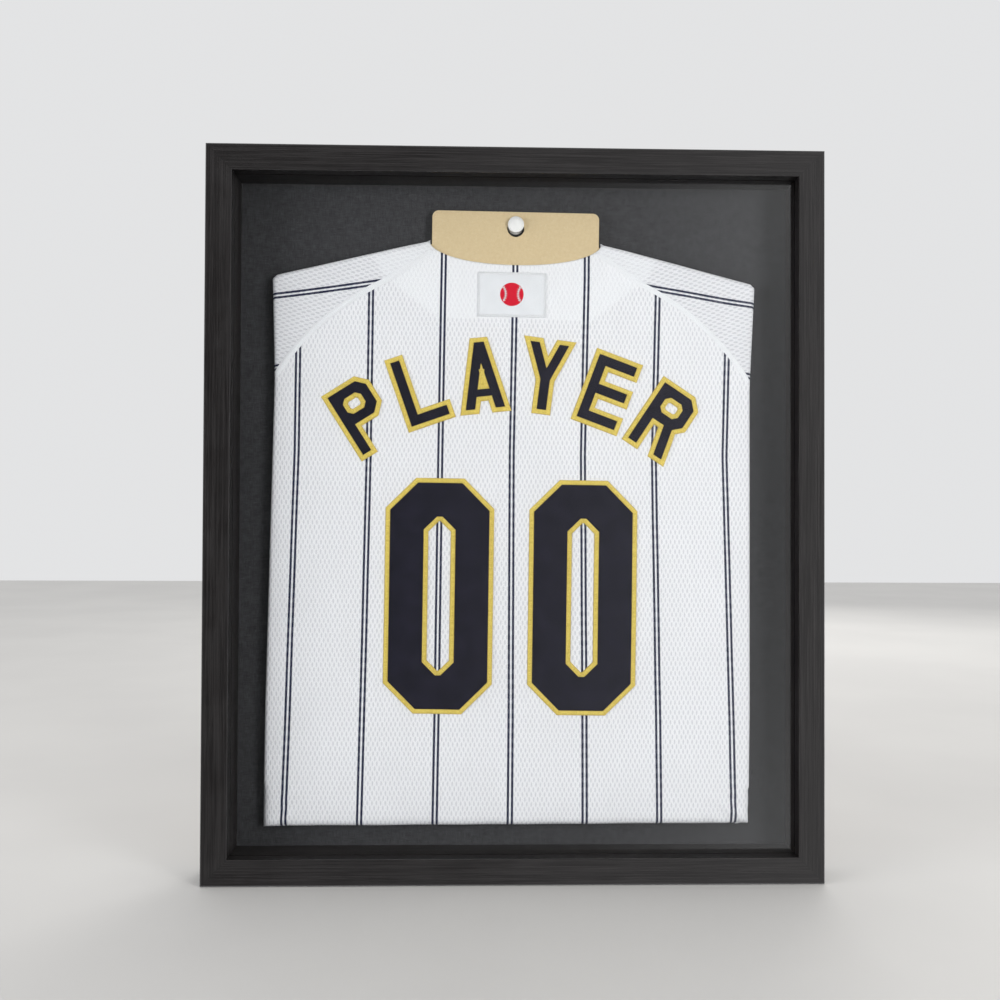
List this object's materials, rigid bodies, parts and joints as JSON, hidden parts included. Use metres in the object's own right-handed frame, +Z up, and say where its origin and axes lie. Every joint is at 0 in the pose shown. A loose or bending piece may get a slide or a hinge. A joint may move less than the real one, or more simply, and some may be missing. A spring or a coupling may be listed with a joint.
{
  "type": "jersey display frame",
  "caption": "Deep rectangular box frame with a clear front sheet, spacers and backing boards, showing a folded sports jersey that hangs inside on a peg.",
  "frame": {"origin": "middle of the base face that the frame stands on", "axes": "+X to the right seen from the front, +Y from the clear front sheet towards the wall, +Z up"},
  "size_m": [0.565, 0.0543, 0.67],
  "materials": {
    "moulding": "ebony woodgrain foil, satin",
    "clear_sheet": "clear acrylic, gloss",
    "spacer": "black-brown wrap, matte",
    "display_cloth": "board covered in charcoal paper cloth, matte",
    "cardboard": "corrugated cardboard, matte",
    "hardboard": "hardboard, matte",
    "white_plastic": "white, gloss",
    "garment_board": "tan fibreboard, matte",
    "jersey_mesh": "white knitted mesh with fine dark stripes",
    "sleeve_mesh": "white knitted mesh with fine dark stripes",
    "patch_twill": "white twill",
    "emblem_thread": "red embroidery thread",
    "gold_thread": "gold satin stitch",
    "navy_twill": "near-black navy twill",
    "zinc": "zinc plated steel",
    "bumper_rubber": "black rubber"
  },
  "bodies": {
    "frame": {"top_rail": "moulding", "bottom_rail": "moulding", "left_rail": "moulding", "right_rail": "moulding", "corner_v_nails": "zinc", "acrylic_sheet": "clear_sheet", "top_spacer": "spacer", "bottom_spacer": "spacer", "left_spacer": "spacer", "right_spacer": "spacer", "display_board": "display_cloth", "filler_board": "cardboard", "back_board": "hardboard", "hanging_peg": "white_plastic", "peg_screw": "zinc", "peg_washer": "zinc", "turn_button_screws": "zinc", "left_hanger_plate": "zinc", "right_hanger_plate": "zinc", "hanger_screws": "zinc", "wall_bumpers": "bumper_rubber"},
    "garment": {"garment_board": "garment_board", "jersey_back_panel": "jersey_mesh", "left_sleeve": "sleeve_mesh", "right_sleeve": "sleeve_mesh", "collar_facing": "jersey_mesh", "left_front_panel": "jersey_mesh", "right_front_panel": "jersey_mesh", "emblem_patch": "patch_twill", "emblem_ball": "emblem_thread", "name_borders": "gold_thread", "name_letters": "navy_twill", "number_borders": "gold_thread", "number_digits": "navy_twill"},
    "turn_button_1": {"turn_button_1": "zinc"},
    "turn_button_2": {"turn_button_2": "zinc"},
    "turn_button_3": {"turn_button_3": "zinc"},
    "turn_button_4": {"turn_button_4": "zinc"},
    "turn_button_5": {"turn_button_5": "zinc"},
    "turn_button_6": {"turn_button_6": "zinc"},
    "turn_button_7": {"turn_button_7": "zinc"},
    "turn_button_8": {"turn_button_8": "zinc"},
    "left_ring": {"left_hanger_ring": "zinc"},
    "right_ring": {"right_hanger_ring": "zinc"}
  },
  "joints": [
    {"name": "garment_swing", "type": "hinge", "parent": "frame", "child": "garment", "pos_m": [0, 0, 0.607], "axis": [0, 1, 0], "range_deg": [-3.5, 2.5]},
    {"name": "turn_1", "type": "hinge", "parent": "frame", "child": "turn_button_1", "pos_m": [-0.1325, 0.0253, 0.663], "axis": [0, 1, 0], "range_deg": [-90, 90]},
    {"name": "turn_2", "type": "hinge", "parent": "frame", "child": "turn_button_2", "pos_m": [0.1325, 0.0253, 0.663], "axis": [0, 1, 0], "range_deg": [-90, 90]},
    {"name": "turn_3", "type": "hinge", "parent": "frame", "child": "turn_button_3", "pos_m": [0.2755, 0.0253, 0.52], "axis": [0, 1, 0], "range_deg": [-90, 90]},
    {"name": "turn_4", "type": "hinge", "parent": "frame", "child": "turn_button_4", "pos_m": [0.2755, 0.0253, 0.15], "axis": [0, 1, 0], "range_deg": [-90, 90]},
    {"name": "turn_5", "type": "hinge", "parent": "frame", "child": "turn_button_5", "pos_m": [0.1325, 0.0253, 0.007], "axis": [0, 1, 0], "range_deg": [-90, 90]},
    {"name": "turn_6", "type": "hinge", "parent": "frame", "child": "turn_button_6", "pos_m": [-0.1325, 0.0253, 0.007], "axis": [0, 1, 0], "range_deg": [-90, 90]},
    {"name": "turn_7", "type": "hinge", "parent": "frame", "child": "turn_button_7", "pos_m": [-0.2755, 0.0253, 0.15], "axis": [0, 1, 0], "range_deg": [-90, 90]},
    {"name": "turn_8", "type": "hinge", "parent": "frame", "child": "turn_button_8", "pos_m": [-0.2755, 0.0253, 0.52], "axis": [0, 1, 0], "range_deg": [-90, 90]},
    {"name": "left_ring_swing", "type": "hinge", "parent": "frame", "child": "left_ring", "pos_m": [-0.2755, 0.0273, 0.475], "axis": [1, 0, 0], "range_deg": [0, 180]},
    {"name": "right_ring_swing", "type": "hinge", "parent": "frame", "child": "right_ring", "pos_m": [0.2755, 0.0273, 0.475], "axis": [1, 0, 0], "range_deg": [0, 180]}
  ]
}
